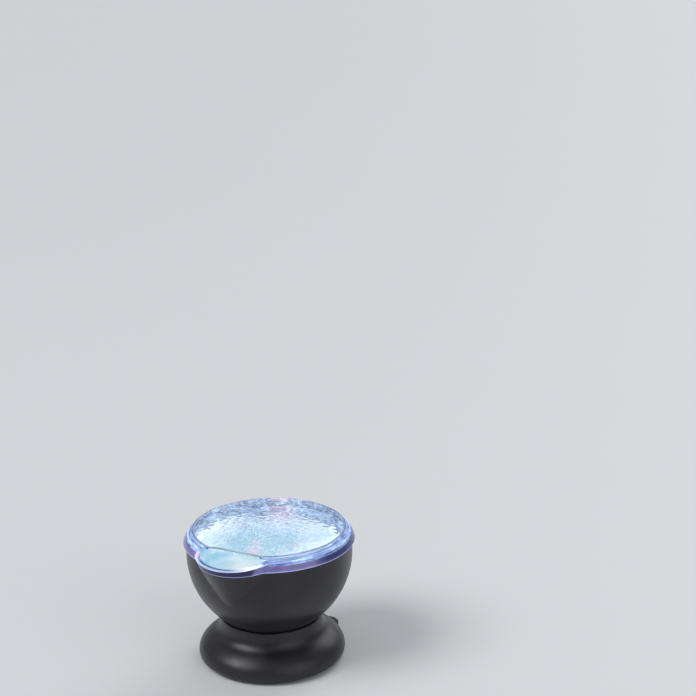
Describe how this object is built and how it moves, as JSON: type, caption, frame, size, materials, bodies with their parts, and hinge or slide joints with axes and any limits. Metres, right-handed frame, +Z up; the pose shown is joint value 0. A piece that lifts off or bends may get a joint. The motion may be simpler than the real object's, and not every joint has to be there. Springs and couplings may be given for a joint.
{
  "type": "ocean wave projector",
  "caption": "Pot-shaped wave light projector: a round black bowl with a clear rippled lens and a lip button, tilting on a low domed base.",
  "frame": {"origin": "on the table, under the middle of the round base", "axes": "+Z up, -Y towards the lip, +X to the right of someone who faces the lip from the front of the object"},
  "size_m": [0.124, 0.137, 0.1047],
  "materials": {
    "black_plastic": "satin black moulded plastic",
    "clear_plastic": "clear polished plastic with fine ripples",
    "button_plastic": "clear plastic, faint blue",
    "wave_plastic": "clear plastic with deep ripples",
    "white_plastic": "white moulded plastic",
    "green_board": "green circuit board",
    "white_board": "white circuit board",
    "dark_plastic": "matt black plastic",
    "zinc_steel": "zinc-plated steel",
    "brass": "turned brass",
    "rubber": "matt rubber",
    "magnet": "dark ferrite and plated iron",
    "paper": "black paper cone",
    "lamp_white": "clear lamp resin",
    "lamp_blue": "blue lamp resin",
    "lamp_green": "green lamp resin",
    "lamp_red": "red lamp resin"
  },
  "bodies": {
    "base": {"base_shell": "black_plastic", "base_plate": "dark_plastic", "foot_ring": "rubber", "base_screws": "zinc_steel", "main_board": "green_board", "board_screws": "zinc_steel", "board_chips": "dark_plastic", "usb_socket": "zinc_steel", "usb_tongue": "dark_plastic", "audio_jack": "dark_plastic", "volume_pot": "dark_plastic", "switch_case": "zinc_steel", "speaker_magnet": "magnet", "speaker_frame": "zinc_steel", "speaker_cone": "paper", "pivot_stud": "brass", "clamp_shoe": "dark_plastic", "spring_washer": "zinc_steel", "flat_washer": "zinc_steel", "clamp_nut": "brass"},
    "head": {"head_bowl": "black_plastic", "led_board": "white_board", "reflector": "white_plastic", "reflector_screws": "zinc_steel", "leds_white": "lamp_white", "leds_blue": "lamp_blue", "leds_green": "lamp_green", "leds_red": "lamp_red", "gear_motor": "zinc_steel", "motor_screws": "zinc_steel", "lens_cover": "clear_plastic", "button_board": "green_board", "push_switch": "dark_plastic"},
    "wave": {"wave_disc": "wave_plastic", "motor_shaft": "zinc_steel"},
    "button": {"mode_button": "button_plastic", "switch_plunger": "dark_plastic"},
    "slider": {"power_slider": "dark_plastic"},
    "volume": {"volume_wheel": "dark_plastic"}
  },
  "joints": [
    {"name": "head_tilt", "type": "hinge", "parent": "base", "child": "head", "pos_m": [0, 0, 0.0815], "axis": [-1, 0, 0], "range_deg": [0, 30]},
    {"name": "wave_spin", "type": "hinge", "parent": "head", "child": "wave", "pos_m": [0, 0, 0.0815], "axis": [0, 0, 1], "continuous": true},
    {"name": "button_press", "type": "slide", "parent": "head", "child": "button", "axis": [0, 0.1219, -0.9925], "range_m": [0, 0.0008], "stiffness_N_per_m": 1500},
    {"name": "slider_travel", "type": "slide", "parent": "base", "child": "slider", "axis": [0.8526, 0.5225, 0], "range_m": [0, 0.0025]},
    {"name": "volume_turn", "type": "hinge", "parent": "base", "child": "volume", "pos_m": [0.02461, 0.04016, 0.0099], "axis": [0, 0, 1], "range_deg": [-135, 135]}
  ]
}
